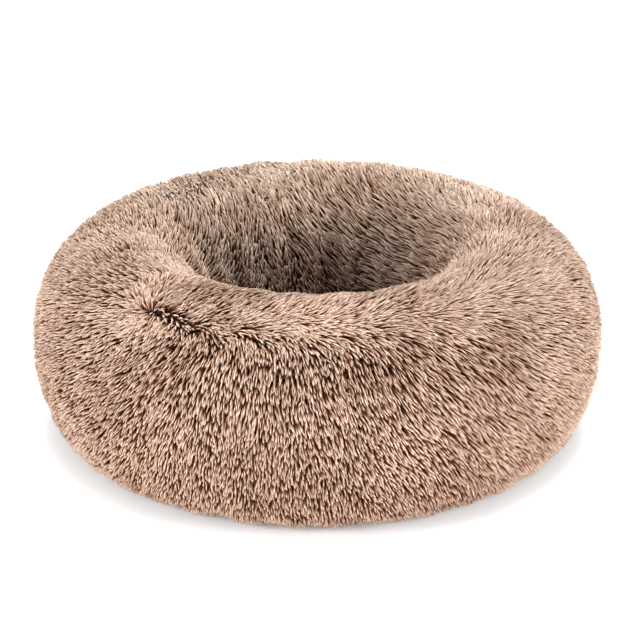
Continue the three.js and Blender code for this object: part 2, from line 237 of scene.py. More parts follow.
def direction_at(degrees, angle):
    """The combing angle at each place, from the table's directions."""
    where = np.degrees(angle) % 360
    c = np.interp(where, COMB_PLACES, np.cos(np.radians(degrees)))
    s = np.interp(where, COMB_PLACES, np.sin(np.radians(degrees)))
    return np.arctan2(s, c)


def between(first, second, share):
    """The direction a share of the way from one to another."""
    c = np.cos(first) * (1 - share) + np.cos(second) * share
    s = np.sin(first) * (1 - share) + np.sin(second) * share
    return np.arctan2(s, c)


def messiness(angle, s):
    total = np.zeros_like(s)
    for place, past, reach in MESSY_PLACES:
        gap = (angle - math.radians(place) + math.pi) % TURN - math.pi
        across = gap * profile.radius(profile.crest + past)
        total += np.exp(-(across**2 + (s - profile.crest - past) ** 2) / reach**2)
    return np.minimum(total, 1)


def fan(angle, s):
    """How far the front cover's lowest locks turn over its two ends, towards the zip."""
    left = (angle - math.pi) % TURN * profile.radius(s)
    right = (-angle) % TURN * profile.radius(s)
    turn = smooth(right, FAN_WIDTH, 0) - smooth(left, FAN_WIDTH, 0)
    return FAN_TURN * turn * smooth(s, 46 * MM, 30 * MM)


def combed(angle, s, wander=0.0):
    """The pile's direction in radians, before any unevenness."""
    left, right = PARTING_BELOW_CREST
    below = left + (right - left) * smooth(np.cos(angle), -0.6, 0.3)
    parting = profile.crest - below + wander * smooth(-np.sin(angle), 0.35, 0.75)
    over = smooth(s, parting - PARTING_SOFTNESS, parting + PARTING_SOFTNESS)
    inside = smooth(s, profile.crest + NEST_TURN[0], profile.crest + NEST_TURN[1])
    outside = between(direction_at(COMB_WALL, angle), direction_at(COMB_CREST, angle), over)
    heading = between(outside, direction_at(COMB_NEST, angle), inside) + fan(angle, s)
    return np.where(s > profile.seam, PAD_COMB - angle, heading)


def comb(angle, s, points):
    """The pile's direction in radians."""
    wide, middle, fine = COMB_NOISE
    heading = combed(angle, s, PARTING_WANDER * middle_noise(points))
    heading += wide * wide_noise(points) + middle * middle_noise(points) + fine * fine_noise(points)
    return heading + messiness(angle, s) * MESSY_TURN * fine_noise(points[:, ::-1])


def divergence(angle, s):
    """How much the pile parts at each place, from 0 to 1."""
    step = 7 * MM
    turn = step / np.maximum(profile.radius(s), step)
    down = np.cos(combed(angle, s + step)) - np.cos(combed(angle, s - step))
    aside = np.sin(combed(angle + turn, s)) - np.sin(combed(angle - turn, s))
    return np.where(s < profile.seam - step, np.clip(aside - down, 0, 1), 0)


def gaps_with_painted_shade(angle, s):
    """Where gaps show between the locks and painted shade darkens them, from 0 at the rear to 1 on the front
    wall and to its left.
    """
    front = smooth(-np.sin(angle + math.radians(12)), 0.3, 0.95)
    return front * smooth(profile.crest - s, -60 * MM, 20 * MM)


def right_side(angle):
    """Where the locks are longer and finer, round the bed's right side."""
    return smooth(np.cos(angle + math.radians(25)), 0.5, 0.9)


def fold(angle, s):
    """How deep the pile lies in the valleys that run from the gathers over the crest."""
    rear = smooth(np.sin(angle), -0.5, 0.1)
    top = profile.crest
    reach = smooth(s, top - 50 * MM, top) * smooth(s, top + 90 * MM, top)
    return FOLD_DEPTH * rear * reach * (1 + np.cos(GATHER_COUNT * angle)) / 2


def scatter(spacing, low, high, from_angle=0.0, to_angle=TURN):
    """Roots spread evenly over a stretch of the profile, as angles and lengths along it."""
    angles, lengths = [], []
    for s in np.arange(low, high, spacing):
        r = max(profile.radius(s), spacing / 2)
        count = max(int(round((to_angle - from_angle) * r / spacing)), 1)
        place = (np.arange(count) + rng.uniform(-0.3, 0.3, count) + rng.uniform()) / count
        angles.append(from_angle + (to_angle - from_angle) * np.clip(place % 1, 0, 1))
        lengths.append(s + spacing * rng.uniform(-0.4, 0.4, count))
    return np.concatenate(angles), np.clip(np.concatenate(lengths), low, high)


def shortened(strand, t, reach):
    """Each strand cut to a share of its length, with its points spread again."""
    where = np.linspace(0, 1, len(t)) * reach[:, None] * (len(t) - 1)
    low = np.minimum(where.astype(int), len(t) - 2)
    share = (where - low)[:, :, None]
    rows = np.arange(len(strand))[:, None]
    return strand[rows, low] * (1 - share) + strand[rows, low + 1] * share


class Coat:
    """Locks of strands. Each strand has its points, widths, tone, shade along it and root."""

    def __init__(self):
        self.strands = []

    def add_locks(self, angle, s, look):
        """Grows a lock at each root. look holds the sizes of this layer of the coat."""
        count, steps = len(angle), look["steps"]
        t = np.linspace(0, 1, steps + 1) ** 0.65
        roots = profile.at(angle, s)
        mess = messiness(angle, s)
        heading = comb(angle, s, roots) + np.radians(look["stray"]) * rng.normal(size=count)
        uneven = 1 + 0.22 * rng.normal(size=count).clip(-1.8, 1.8)
        length = look["length"] * uneven * sized(angle, s)
        curl = np.radians(look["curl"]) * rng.normal(size=count)
        depth = look["tip_depth"] + look["tip_spread"] * rng.uniform(-1, 1, count) - mess * MM
        depth = depth + TIP_NOISE[0] * middle_noise(roots) + TIP_NOISE[1] * fine_noise(roots)
        depth = np.maximum(depth, -TIP_RISE) + fold(angle, s)
        wave = np.radians(look["wave"]) * rng.normal(size=count)
        phase = rng.uniform(0, TURN, count)
        bend = heading[:, None] + curl[:, None] * t + wave[:, None] * np.sin(TURN * t + phase[:, None])
        step = length[:, None] * np.diff(t, prepend=0)
        a_path, s_path = self.paths(angle, s, bend, step)
        lift = look["lift"] * (1 + 0.6 * mess)[:, None]
        points, normal = profile.frame(a_path, s_path)
        side = unit(np.cross(normal, unit(np.gradient(points, axis=1))))
        centre = points - normal * (look["root_depth"] * (1 - t) ** lift + depth[:, None] * t)[:, :, None]

        fineness = 1 - 0.2 * right_side(angle)
        spread = look["width"] * fineness[:, None] * (1 - 0.5 * t**2)
        gaps = gaps_with_painted_shade(angle, s)
        # The power on t below sets how far the painted root shade reaches up each lock. It reaches furthest
        # on the front wall, less where the pile parts or tangles, and least on the rear half, which this
        # paints lighter. contrast widens the random tone on the front wall.
        painted_shade_power = 0.9 + 0.6 * gaps - 0.8 * divergence(angle, s) * (1 - 0.7 * gaps)
        painted_shade_power -= 0.5 * smooth(np.sin(angle), 0.0, 0.6) + 0.25 * mess
        contrast = 0.8 + 0.2 * gaps
        tone = 0.2 * rng.normal(size=count) + 0.1 * wide_noise(roots) + 0.1 * fine_noise(roots)
        tone = 0.5 + contrast * tone
        taper = 1 - 0.25 * np.maximum(1 - t / 0.35, 0) - 0.3 * t**3
        along = t ** painted_shade_power[:, None] * look["shade"]
        home = np.stack([angle % TURN, s], 1)
        for j in range(look["strands"]):
            across = rng.uniform(-1, 1, count) * 0.2 + (2 * (j + 0.5) / look["strands"] - 1)
            high = rng.uniform(-0.2, 0.2, count) + 0.6 * (1 - np.abs(across))
            reach = 1 - 0.14 * rng.uniform(size=count) * (j > 0)
            stray = rng.normal(size=count) * 0.35 * MM
            x = (across / 2)[:, None] * spread + stray[:, None] * t**2
            y = high[:, None] * spread * 0.45
            strand = shortened(centre + side * x[:, :, None] + normal * y[:, :, None], t, reach)
            core = 1 - np.abs(across)
            width = look["strand"] * fineness * (0.7 + 0.7 * core) * (0.85 + 0.3 * rng.uniform(size=count))
            # Painted highlight on each lock's middle strands and painted shade on its outer ones. The rest of
            # the tone differs at random.
            own_tone = tone + contrast * (0.42 * (core - 0.5) + 0.12 * rng.normal(size=count))
            strand[..., 2] = np.maximum(strand[..., 2], STRAND_FLOOR)
            self.strands.append((strand, width[:, None] * taper, own_tone, along, home))

    @staticmethod
    def paths(angle, s, bend, step):
        """The locks' ways over the surface, as angles and lengths along the profile."""
        s_path = np.maximum(s[:, None] - np.cumsum(np.cos(bend) * step, 1), profile.s[0])
        r_path = np.maximum(profile.radius(s_path), 6 * MM)
        a_path = angle[:, None] + np.cumsum(np.sin(bend) * step / r_path, 1)
        flat = s > profile.seam
        start = angle[flat, None]
        way = bend[flat] + start
        reach = profile.end - s[flat, None]
        x = reach * np.cos(start) + np.cumsum(np.cos(way) * step[flat], 1)
        y = reach * np.sin(start) + np.cumsum(np.sin(way) * step[flat], 1)
        s_path[flat] = profile.end - np.hypot(x, y)
        a_path[flat] = np.arctan2(y, x)
        return a_path, s_path

    def piece(self, name, from_angle, to_angle, low, high, material):
        """One object of the strands whose roots lie in a sector and a stretch of the profile."""
        blocks = []
        for *strand, home in self.strands:
            angle, s = home.T
            chosen = (angle >= from_angle) & (angle < to_angle) & (s >= low) & (s < high)
            if chosen.any():
                blocks.append([values[chosen] for values in strand])
        return strand_piece(name, blocks, material)


# Meshes


def new_object(name, mesh, material):
    mesh.polygons.foreach_set("use_smooth", np.ones(len(mesh.polygons), dtype=bool))
    mesh.materials.append(material)
    obj = bpy.data.objects.new(name, mesh)
    bpy.context.scene.collection.objects.link(obj)
    return obj


def new_piece(name, points, faces, coords, material, by_corner=False):
    """An object from blocks of faces, each with its own count of corners, and its places on the bake map."""
    corners = np.concatenate([block.ravel() for block in faces])
    sizes = np.concatenate([np.full(len(block), block.shape[1]) for block in faces])
    mesh = bpy.data.meshes.new(name)
    mesh.vertices.add(len(points))
    mesh.vertices.foreach_set("co", points.astype(np.float32).ravel())
    mesh.loops.add(len(corners))
    mesh.loops.foreach_set("vertex_index", corners.astype(np.int32))
    mesh.polygons.add(len(sizes))
    mesh.polygons.foreach_set("loop_start", (np.cumsum(sizes) - sizes).astype(np.int32))
    mesh.update(calc_edges=True)
    if not by_corner:
        coords = coords[corners]
    layer = mesh.uv_layers.new(name="OFBake")
    layer.uv.foreach_set("vector", coords.astype(np.float32).ravel())
    return new_object(name, mesh, material)


def repeated(pattern, count, step):
    """The faces of a pattern for each of count copies, whose points follow each other at a step."""
    pattern = np.array(pattern)
    return (step * np.arange(count)[:, None, None] + pattern).reshape(-1, pattern.shape[-1])


def settle(obj, slot, *nodes, body="bed"):
    """Says what the piece rides on and stands for. slot, what it is made of, is not used."""
    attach(obj, body)
    if nodes:
        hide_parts(*nodes)
    return obj


STRAND_SIDES = 3


def strand_piece(name, blocks, material):
    """Tapered strands, each a tube of a few sides closed by a point at its tip."""
    sides = STRAND_SIDES
    turns = TURN * (np.arange(sides) + 0.25 * sides) / sides
    cos, sin = np.cos(turns)[:, None], np.sin(turns)[:, None]
    points, shades, coords, triangles = [], [], [], []
    first = 0
    for rings, widths, tone, along in blocks:
        count, body = len(rings), rings.shape[1] - 1
        per = body * sides + 1
        forward = unit(np.gradient(rings, axis=1))
        across = unit(np.cross(unit(rings * [1, 1, 0]) + [0, 0, 0.8], forward))
        over = np.cross(forward, across)
        out = across[:, :body, None] * cos + over[:, :body, None] * (0.7 * sin)
        tube = rings[:, :body, None] + out * widths[:, :body, None, None] / 2
        tube[..., 2] = np.maximum(tube[..., 2], STRAND_FLOOR - 0.15 * MM)
        points.append(np.concatenate([tube.reshape(count, -1, 3), rings[:, -1:]], 1).reshape(-1, 3))
        t = np.concatenate([np.repeat(along[:, :body], sides, axis=1), along[:, -1:]], 1)
        # Painted highlight on each strand's outer ridge and painted shade on its two flanks, with a lighter
        # tip.
        lit = np.append(np.tile(0.24 * sin.ravel() - 0.07, body), 0.05)
        slip = np.append(np.tile(np.arange(sides) - (sides - 1) / 2, body), 0) * 0.003
        shade = np.ones((count, per, 4))
        shade[..., 0] = np.clip(tone[:, None] + lit, 0.02, 0.98)
        shade[..., 1] = t
        shades.append(shade.reshape(-1, 4))
        coords.append(np.stack([shade[..., 0] + slip, 0.01 + 0.98 * t], -1).reshape(-1, 2))
        pattern = [(0, k + 1, k) for k in range(1, sides - 1)]
        for level in range(body - 1):
            for k in range(sides):
                a, b = level * sides + k, level * sides + (k + 1) % sides
                pattern += [(a, b, b + sides), (a, b + sides, a + sides)]
        last = per - 1 - sides
        pattern += [(last + k, last + (k + 1) % sides, per - 1) for k in range(sides)]
        triangles.append(first + repeated(pattern, count, per))
        first += count * per
    points, shades, coords, triangles = map(np.concatenate, (points, shades, coords, triangles))
    piece = new_piece(name, points, [triangles], coords, material)
    attribute = piece.data.color_attributes.new("strand", "FLOAT_COLOR", "POINT")
    attribute.data.foreach_set("color", shades.astype(np.float32).ravel())
    return piece


def offset(line, depth):
    """A curve [r, z] moved by depth to its left, which is inwards for the profile."""
    run = unit(np.gradient(line, axis=0))
    return line + np.stack([-run[:, 1], run[:, 0]], 1) * depth


def strip(line, thickness, near=0.0):
    """The closed outline of a strip on a curve's left."""
    return np.concatenate([offset(line, near), offset(line, near + thickness)[::-1]])


def bend(a, corner, b, count):
    """A curve from a to b, drawn towards the corner."""
    t = np.linspace(0, 1, count)[:, None]
    return (1 - t) ** 2 * np.array(a) + 2 * t * (1 - t) * np.array(corner) + t**2 * np.array(b)


def swept(name, section, low, high, steps, material, shift=None, planar=False):
    """A closed outline [r, z] swept round the bed's axis, whose points shift(points, angles) may move.

    The cloth's threads run along and across the sweep, or straight along X and Y if planar.
    """
    r, z = section.T
    if np.sum(r * np.roll(z, -1) - z * np.roll(r, -1)) < 0:
        section = section[::-1]
        r, z = section.T
    whole = high - low > TURN - 1e-6
    rings = steps if whole else steps + 1
    angle = (low + (high - low) * np.arange(rings) / steps)[:, None]
    points = around_axis(r, z, angle)
    if shift is not None:
        points = shift(points, angle)
    points = points.reshape(-1, 3)
    sides = np.linalg.norm(np.diff(section, axis=0, append=section[:1]), axis=1)
    around = sides.sum()
    v = np.concatenate([[0], np.cumsum(sides)]) / around
    count = len(section)
    i, k = np.arange(count), np.arange(steps)[:, None]
    j, here, ahead = (i + 1) % count, k * count, (k + 1) % rings * count
    faces = [np.stack([here + i, ahead + i, ahead + j, here + j], -1).reshape(-1, 4)]
    corners = ((k, v[:-1]), (k + 1, v[:-1]), (k + 1, v[1:]), (k, v[1:]))
    coords = [np.stack(np.broadcast_arrays(u / steps, v), -1) for u, v in corners]
    coords = np.stack(coords, 2).reshape(-1, 2)
    if not whole:
        faces.append(np.stack([i, steps * count + i[::-1]]))
        edge = 0.001 * (r > r.mean())
        start, end = np.stack([edge, v[:-1]], 1), np.stack([1 - edge[::-1], v[-2::-1]], 1)
        coords = np.concatenate([coords, start, end])
    piece = new_piece(name, points, faces, 0.002 + 0.996 * coords, material, by_corner=True)
    cloth = np.zeros((len(coords), 3))
    if planar:
        cloth[:] = points[np.concatenate([block.ravel() for block in faces])]
    else:
        cloth[:, :2] = coords * [(high - low) * r.mean(), around]
    attribute = piece.data.attributes.new("cloth", "FLOAT_VECTOR", "CORNER")
    attribute.data.foreach_set("vector", cloth.astype(np.float32).ravel())
    return piece


def tubes(name, path, radius, sides, material):
    """Round tubes along paths, given as an array of tube, step and place. Each has closed ends."""
    count, steps, _ = path.shape
    forward = unit(np.gradient(path, axis=1))
    across = unit(np.cross((0.31, 0.17, 0.93), forward))
    over = np.cross(forward, across)
    turns = (TURN * np.arange(sides) / sides)[:, None]
    out = across[:, :, None] * np.cos(turns) + over[:, :, None] * np.sin(turns)
    points = path[:, :, None] + radius * out
    index = np.arange(steps * sides).reshape(steps, sides)
    ahead = np.roll(index, -1, 1)
    quads = np.stack([index[:-1], ahead[:-1], ahead[1:], index[1:]], -1).reshape(-1, 4)
    ends = [index[0][::-1], index[-1]]
    faces = [repeated(quads, count, steps * sides), repeated(ends, count, steps * sides)]
    place, side = np.divmod(np.arange(count * steps * sides), sides)
    coords = 0.02 + 0.96 * np.stack([side / sides, place % steps / steps], 1)
    return new_piece(name, points.reshape(-1, 3), faces, coords, material)


def stitches(name, place, length, pitch, radius, material):
    """A row of short threads that dive in at both ends. place(distance, rise) gives their points."""
    t = np.linspace(0, 1, 6)
    distance = np.arange(0, length - pitch, pitch)[:, None] + t * pitch * 0.82
    rise = np.broadcast_to(radius * (2.2 * np.sin(math.pi * t) ** 0.6 - 0.9), distance.shape)
    settle(tubes(name, place(distance, rise), radius, 5, material), "tape")


def on_band(angle, up, out):
    """Points of the zip's band, by their place up its slope and out from it."""
    r = BAND_RADIUS + up * math.sin(LEAN) + out * math.cos(LEAN)
    return around_axis(r, BAND_HEIGHT + up * math.cos(LEAN) - out * math.sin(LEAN), angle)


# Materials

# Colours along each lock from root to tip: the dark root end is painted shade deep between the locks, and the
# pale tip is the pile's own colour.
PILE_STOPS = (
    (0.0, (0.06, 0.011, 0.003)),
    (0.3, (0.17, 0.06, 0.028)),
    (0.55, (0.66, 0.435, 0.325)),
    (0.8, (0.86, 0.66, 0.54)),
    (1.0, (0.91, 0.78, 0.67)),
)
# Multipliers for each strand's tone. The tone holds its random differences and also the painted highlights
# and shade of its ridge, flanks and lock.
PILE_TONES = (
    (0.0, (0.30, 0.20, 0.15)),
    (0.25, (0.45, 0.385, 0.34)),
    (0.55, (0.71, 0.675, 0.64)),
    (1.0, (1.0, 1.0, 1.0)),
)


class Graph:
    """The nodes of a material or a world."""

    def __init__(self, owner):
        owner.use_nodes = True
        self.tree = owner.node_tree

    def put(self, socket, value):
        """Sets an input to a plain value, another node's output or a node's first output."""
        if isinstance(value, bpy.types.Node):
            value = value.outputs[0]
        if isinstance(value, bpy.types.NodeSocket):
            self.tree.links.new(value, socket)
        else:
            socket.default_value = value

    def fill(self, node, **inputs):
        for name, value in inputs.items():
            self.put(node.inputs[name.replace("_", " ")], value)

    def add(self, kind, *values, **named):
        """A new node. Names in lower case are its settings. Other names and plain values are its inputs."""
        node = self.tree.nodes.new("ShaderNode" + kind)
        for name in [name for name in named if name.islower()]:
            setattr(node, name, named.pop(name))
        for socket, value in zip(node.inputs, values):
            self.put(socket, value)
        self.fill(node, **named)
        return node

    def math(self, operation, *values):
        return self.add("Math", *values, operation=operation)

    def ramp(self, level, stops):
        """A colour that runs through the stops as the level rises."""
        node = self.add("ValToRGB", level)
        elements = node.color_ramp.elements
        while len(elements) < len(stops):
            elements.new(0.5)
        for element, (place, colour) in zip(elements, stops):
            element.position = place
            element.color = (*colour, 1)
        return node

    def noise(self, scale, detail, distortion=0.0):
        """Noise that keeps its place on the object."""
        place = self.add("TexCoord").outputs["Object"]
        return self.add("TexNoise", Vector=place, Scale=scale, Detail=detail, Distortion=distortion)

    def bump(self, height, depth):
        return self.add("Bump", Height=height, Distance=depth)


def surface(name, roughness, **inputs):
    """A new material, its graph and its shader."""
    material = bpy.data.materials.new(name)
    graph = Graph(material)
    shader = graph.tree.nodes["Principled BSDF"]
    graph.fill(shader, Roughness=roughness, **inputs)
    return material, graph, shader


def plush_material():
    """Locks dark at the root, as painted shade between them, and pale at the tip, each with its own tone."""
    sheen = dict(Sheen_Weight=0.03, Sheen_Roughness=0.35, Sheen_Tint=(1.0, 0.88, 0.80, 1))
    material, graph, shader = surface("plush_pile", 0.7, Specular_IOR_Level=0.03, **sheen)
    strand = graph.add("Attribute", attribute_name="strand")
    parts = graph.add("SeparateColor", strand.outputs["Color"])
    along = graph.ramp(parts.outputs["Green"], PILE_STOPS)
    tone = graph.ramp(parts.outputs["Red"], PILE_TONES)
    mix = graph.add("Mix", data_type="RGBA", blend_type="MULTIPLY", Factor=1, A=along, B=tone)
    graph.fill(shader, Base_Color=mix.outputs["Result"])
    return material


def cloth_material(name, light, dark, periods, depth, roughness=0.85, sheen=0.3, turned=0.0):
    """A woven or embossed cloth. periods are its two repeats in millimetres, and depth is its relief."""
    material, graph, shader = surface(name, roughness, Specular_IOR_Level=0.3, Sheen_Weight=sheen)
    place = graph.add("Attribute", attribute_name="cloth").outputs["Vector"]
    axes = graph.add("SeparateXYZ", graph.add("VectorRotate", Vector=place, Angle=turned)).outputs
    turns = [graph.math("MULTIPLY", axis, TURN / (period * MM)) for axis, period in zip(axes, periods)]
    waves = [graph.math("SINE", turn) for turn in turns]
    height = graph.math("MULTIPLY_ADD", graph.math("MULTIPLY", *waves), 0.5, 0.5)
    share = graph.math("MULTIPLY", graph.math("MULTIPLY", height, graph.noise(90, 4)), 2)
    colour = graph.ramp(share, ((0.1, dark), (0.9, light)))
    graph.fill(shader, Base_Color=colour, Normal=graph.bump(height, depth * MM))
    return material


def fibre_material():
    """Matted polyester fibre, white with soft streaks."""
    material, graph, shader = surface("polyester_fibre", 1.0, Sheen_Weight=0.5)
    streaks = graph.noise(160, 8, 3)
    colour = graph.ramp(streaks, ((0.3, (0.80, 0.80, 0.79)), (0.65, (0.95, 0.95, 0.94))))
    graph.fill(shader, Base_Color=colour, Normal=graph.bump(streaks, 0.6 * MM))
    return material


def moulded_material(name, light, dark, roughness, metallic=0.0):
    """Nylon, rubber, thread or cast metal with a fine grain in its colour, gloss and surface."""
    material, graph, shader = surface(name, roughness, Metallic=metallic)
    grain = graph.noise(900, 5)
    gloss = graph.add("MapRange", Value=grain, To_Min=roughness * 0.75, To_Max=roughness * 1.3)
    colour = graph.ramp(grain, ((0.3, dark), (0.7, light)))
    graph.fill(shader, Base_Color=colour, Roughness=gloss, Normal=graph.bump(grain, 0.02 * MM))
    return material


# Camera, floor and light

WHITE = (1, 1, 1, 1)


def place_looking(obj, place, aim):
    obj.location = place
    obj.rotation_euler = (Vector(aim) - Vector(place)).to_track_quat("-Z", "Y").to_euler()
    bpy.context.scene.collection.objects.link(obj)


def make_camera():
    """A long lens in front of the bed, looking 23 degrees down at a point on its axis."""
    data = bpy.data.cameras.new("camera")
    data.lens = 120
    data.sensor_width = 36
    data.shift_x = 0.0040
    data.shift_y = -0.0072
    data.clip_end = 50
    elevation = math.radians(23)
    distance = 2.2
    aim = Vector((0, 0, 0.110))
    camera = bpy.data.objects.new("camera", data)
    place_looking(camera, aim + Vector((0, -math.cos(elevation), math.sin(elevation))) * distance, aim)
    bpy.context.scene.camera = camera


def make_floor():
    """A white floor that keeps the bed's shadow. It glows more from the bed's edge outwards and not under it,
    which paints a contact shadow round the bed's foot.
    """
    size = 12
    mesh = bpy.data.meshes.new("floor")
    corners = [(x, y, 0) for x, y in box_outline(-size, size, -size, size)]
    mesh.from_pydata(corners, [], [(0, 1, 2, 3)])
    material = bpy.data.materials.new("floor")
    graph = Graph(material)
    graph.tree.nodes.clear()
    place = graph.add("TexCoord").outputs["Object"]
    distance = graph.add("VectorMath", place, operation="LENGTH").outputs["Value"]
    # The floor's emission is nil within 0.24 m of the axis and full by 0.29 m, a painted contact shadow round
    # the bed's foot. More of it far out keeps the backdrop white.
    levels = [
        graph.add("MapRange", Value=distance, From_Min=low, From_Max=high, To_Max=most)
        for low, high, most in ((0.24, 0.29, 0.33), (0.6, 2.5, 0.67))
    ]
    glow_with_painted_shadow = graph.add("Emission", Strength=graph.math("ADD", *levels))
    seen = graph.add("AddShader", graph.add("BsdfDiffuse", Color=WHITE), glow_with_painted_shadow)
    bounced = graph.add("BsdfDiffuse", Color=(0.94, 0.94, 0.94, 1))
    from_camera = graph.add("LightPath").outputs["Is Camera Ray"]
    graph.add("OutputMaterial", Surface=graph.add("MixShader", from_camera, bounced, seen))
    mesh.materials.append(material)
    floor = bpy.data.objects.new("floor", mesh)
    bpy.context.scene.collection.objects.link(floor)


def make_world():
    """White for the camera, and a dimmer light from all round for the rest."""
    world = bpy.data.worlds.new("world")
    bpy.context.scene.world = world
    graph = Graph(world)
    from_camera = graph.add("LightPath").outputs["Is Camera Ray"]
    level = graph.add("MapRange", Value=from_camera, To_Min=0.38, To_Max=1.0)
    graph.fill(graph.tree.nodes["Background"], Color=WHITE, Strength=level)


def add_lamp(name, place, size, power):
    data = bpy.data.lights.new(name, "AREA")
    data.shape = "DISK"
    data.size = size
    data.energy = power
    place_looking(bpy.data.objects.new(name, data), place, (0, 0, 0.1))


def make_lights():
    make_world()
    add_lamp("above", (0.1, 0.1, 1.9), 1.5, 26)
    add_lamp("left", (-2.9, -1.1, 1.2), 1.3, 61)
    add_lamp("right", (2.9, -1.1, 1.2), 1.3, 60)
    add_lamp("front", (0.2, -3.2, 0.45), 1.0, 101)
    add_lamp("back", (0.2, 2.2, 2.0), 1.6, 66)


# The plush

SECTORS_PER_HALF = 15
PILE_LOW = 1 * MM
FILLER_LOW = 70 * MM


def zip_top():
    """Where the rear cover ends, at the upper edge of the zip's band, as a length along the profile."""
    knit = offset(profile.line(profile.s), PILE_THICKNESS - 1 * MM)
    rise = (knit[:, 0] - BAND_RADIUS) * math.sin(LEAN) + (knit[:, 1] - BAND_HEIGHT) * math.cos(LEAN)
    wall = (profile.s > 0) & (profile.s < profile.widest)
    return np.interp(BAND_HALF, rise[wall], profile.s[wall])


ZIP_EDGE = zip_top()


def sized(angle, s):
    """Locks are shorter on the left, low down and in the nest, and longer on the right and by the zip."""
    side = 1 - 0.15 * smooth(np.cos(angle - math.radians(190)), 0.3, 0.9) + 0.3 * right_side(angle)
    foot = 0.62 + 0.38 * smooth(s, 60 * MM, 220 * MM)
    nest = 1 - 0.2 * smooth(s, profile.crest + 60 * MM, profile.seam)
    ends = np.minimum(np.abs(angle), np.abs(math.pi - angle)) * BAND_RADIUS
    over_zip = (angle < math.pi) * smooth(ends, 30 * MM, 8 * MM) * smooth(s, ZIP_EDGE + 16 * MM, ZIP_EDGE)
    return side * foot * nest * (1 + 1.3 * over_zip)


OVER_COAT = dict(
    strands=3, steps=3, length=16.5 * MM, stray=3, curl=4, wave=2, lift=2.0, shade=1.0,
    root_depth=12 * MM, tip_depth=0.9 * MM, tip_spread=1.1 * MM, width=1.5 * MM, strand=0.85 * MM,
)
# The under coat's shade keeps it on the dark end of the pile's colours. This is painted shade deep under the
# over coat.
UNDER_COAT = dict(
    strands=3, steps=2, length=14 * MM, stray=10, curl=20, wave=10, lift=1.4, shade=0.32,
    root_depth=12.8 * MM, tip_depth=4.5 * MM, tip_spread=1.5 * MM, width=3.2 * MM, strand=1.6 * MM,
)


def grow_coat():
    """Locks all over the covers, with more where the pile parts, tangles and meets the nest's seam."""
    coat = Coat()
    seam = profile.seam
    for look, spacing in ((OVER_COAT, 3.5 * MM), (UNDER_COAT, 6.0 * MM)):
        coat.add_locks(*scatter(spacing, PILE_LOW, seam, math.pi, TURN), look)
        coat.add_locks(*scatter(spacing, ZIP_EDGE, seam, 0, math.pi), look)
        angle, s = scatter(spacing * 0.75, FILLER_LOW, seam)
        parted = rng.uniform(size=len(s)) < 4 * divergence(angle, s) * (1 - 0.5 * gaps_with_painted_shade(angle, s))
        coat.add_locks(angle[parted], s[parted], dict(look, stray=14))
        angle, s = scatter(spacing * 0.6, FILLER_LOW, seam)
        tangled = rng.uniform(size=len(s)) < messiness(angle, s) - 0.2
        coat.add_locks(angle[tangled], s[tangled], dict(look, stray=60, lift=1.2))
        roots = scatter(spacing * 0.6, seam - 9 * MM, seam + 9 * MM)
        coat.add_locks(*roots, dict(look, stray=50, length=look["length"] * 0.7))
        coat.add_locks(*scatter(spacing, seam, profile.end), look)
    return coat


def add_backing(name, node, from_angle, to_angle, low, high, material):
    """The plush's knitted backing, a thin closed shell under the pile."""
    s = np.linspace(low, high, 90)
    share = profile.gathers(np.concatenate([s, s[::-1]]))

    def gathered(points, angle):
        r = np.hypot(points[..., 0], points[..., 1])
        points[..., :2] *= (1 + share * gather(angle) / np.maximum(r, 1 * MM))[..., None]
        points[..., 2] = np.maximum(points[..., 2], 1.9 * MM)
        return points

    outline = strip(profile.line(s), 1.6 * MM, PILE_THICKNESS - 2 * MM)
    steps = int(round((to_angle - from_angle) / TURN * 144))
    settle(swept(name, outline, from_angle, to_angle, steps, material, gathered), "plush", node)


def add_plush():
    pile = plush_material()
    # The backing's dark brown is painted shade deep under the pile.
    knit = cloth_material(
        "knitted_backing", (0.16, 0.066, 0.037), (0.06, 0.022, 0.012), (1.8, 1.3), 0.2, sheen=0.0
    )
    seam, half = profile.seam, math.pi
    add_backing("front_cover_backing", "front_plush_panel", half, TURN, 16 * MM, seam, knit)
    add_backing("rear_cover_backing", "rear_plush_panel", 0, half, ZIP_EDGE, seam, knit)
    add_backing("nest_floor_backing", "centre_plush_panel", 0, TURN, seam, profile.end - 1 * MM, knit)
    coat = grow_coat()
    for side, start in (("front", half), ("rear", 0)):
        for k in range(SECTORS_PER_HALF):
            low, high = start + half * k / SECTORS_PER_HALF, start + half * (k + 1) / SECTORS_PER_HALF
            piece = coat.piece(f"{side}_pile_{k + 1}", low, high, -math.inf, seam, pile)
            settle(piece, "plush", f"{side}_plush_panel")
        piece = coat.piece(f"{side}_nest_floor_pile", start, start + half, seam, math.inf, pile)
        settle(piece, "plush", "centre_plush_panel")


# The base, the tapes, and the bags and their filling

TAPE_WIDTH = 10 * MM
BAG_FLOOR = 1.9 * MM
LINER_EASE = 2.0 * MM
LINER_THICKNESS = 0.5 * MM


